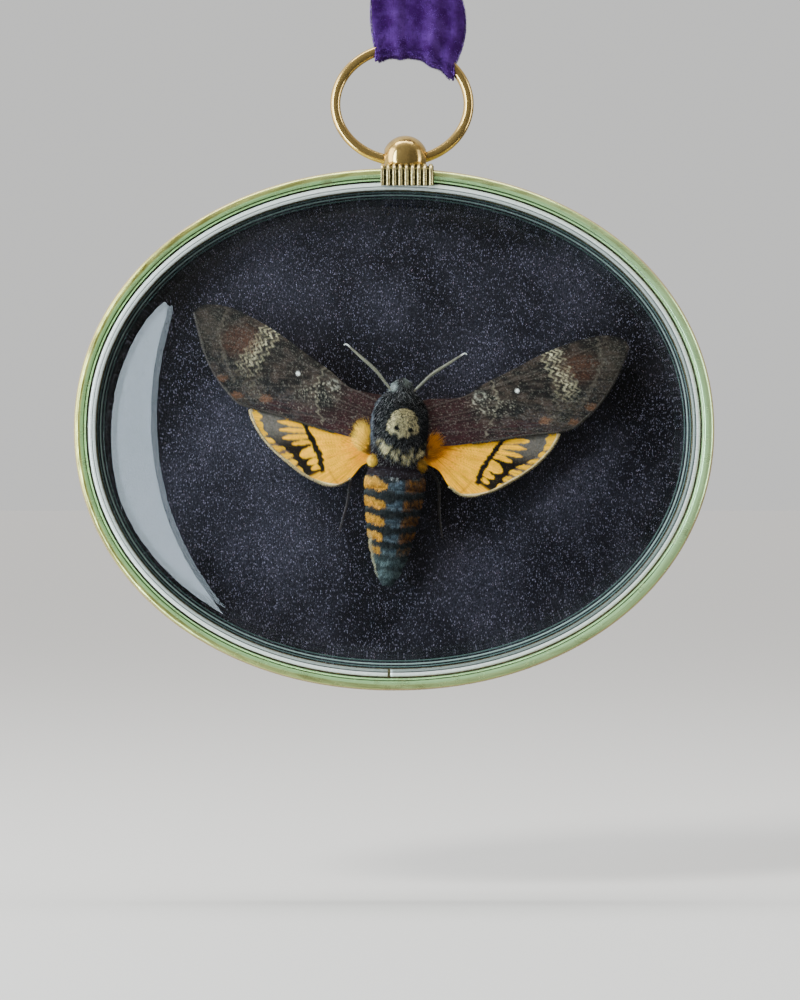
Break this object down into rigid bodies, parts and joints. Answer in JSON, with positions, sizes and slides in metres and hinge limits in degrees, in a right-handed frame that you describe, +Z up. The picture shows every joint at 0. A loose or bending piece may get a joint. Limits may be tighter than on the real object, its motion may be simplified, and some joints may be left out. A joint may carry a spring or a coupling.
{
  "type": "framed moth specimen",
  "caption": "Spread hawkmoth on dark velvet under a convex oval glass in a brass rim, hung by a ribbon through a ring that swings in a ball on the rim.",
  "frame": {"origin": "where a nail or hook bears, at the top of the eye sewn into the ribbon", "axes": "+X to the viewer's right, -Y out of the picture towards the viewer, +Z up"},
  "size_m": [0.15, 0.0279, 0.1849],
  "materials": {
    "ribbon_velvet": "violet velvet ribbon, soft pile",
    "brown_brass": "polished brass gone brown, fine scratches",
    "aged_brass": "pale aged brass, speckled tarnish",
    "clear_glass": "clear convex glass, faintly dusty",
    "case_velvet": "blue-black velvet",
    "brown_board": "brown backing board",
    "moth_fur": "blue-black and yellow fur",
    "moth_forewing": "dark mottled wing scales",
    "moth_hindwing": "yellow wing scales with dark bands"
  },
  "bodies": {
    "hanger": {"hanging_ribbon": "ribbon_velvet", "hanging_ring": "brown_brass"},
    "case": {"rim": "aged_brass", "glass_retaining_ring": "aged_brass", "glass_dome": "clear_glass", "ring_bead": "brown_brass", "ribbed_saddle": "aged_brass", "velvet_backing": "case_velvet", "back_board": "brown_board", "back_point_1": "aged_brass", "back_point_2": "aged_brass", "back_point_3": "aged_brass", "back_point_4": "aged_brass", "moth_body": "moth_fur", "moth_forewing_right": "moth_forewing", "moth_forewing_left": "moth_forewing", "moth_hindwing_right": "moth_hindwing", "moth_hindwing_left": "moth_hindwing"}
  },
  "joints": [
    {"name": "case_swing", "type": "hinge", "parent": "hanger", "child": "case", "pos_m": [-0.0004, 0, -0.0568], "axis": [1, 0, 0], "range_deg": [-90, 90]}
  ]
}
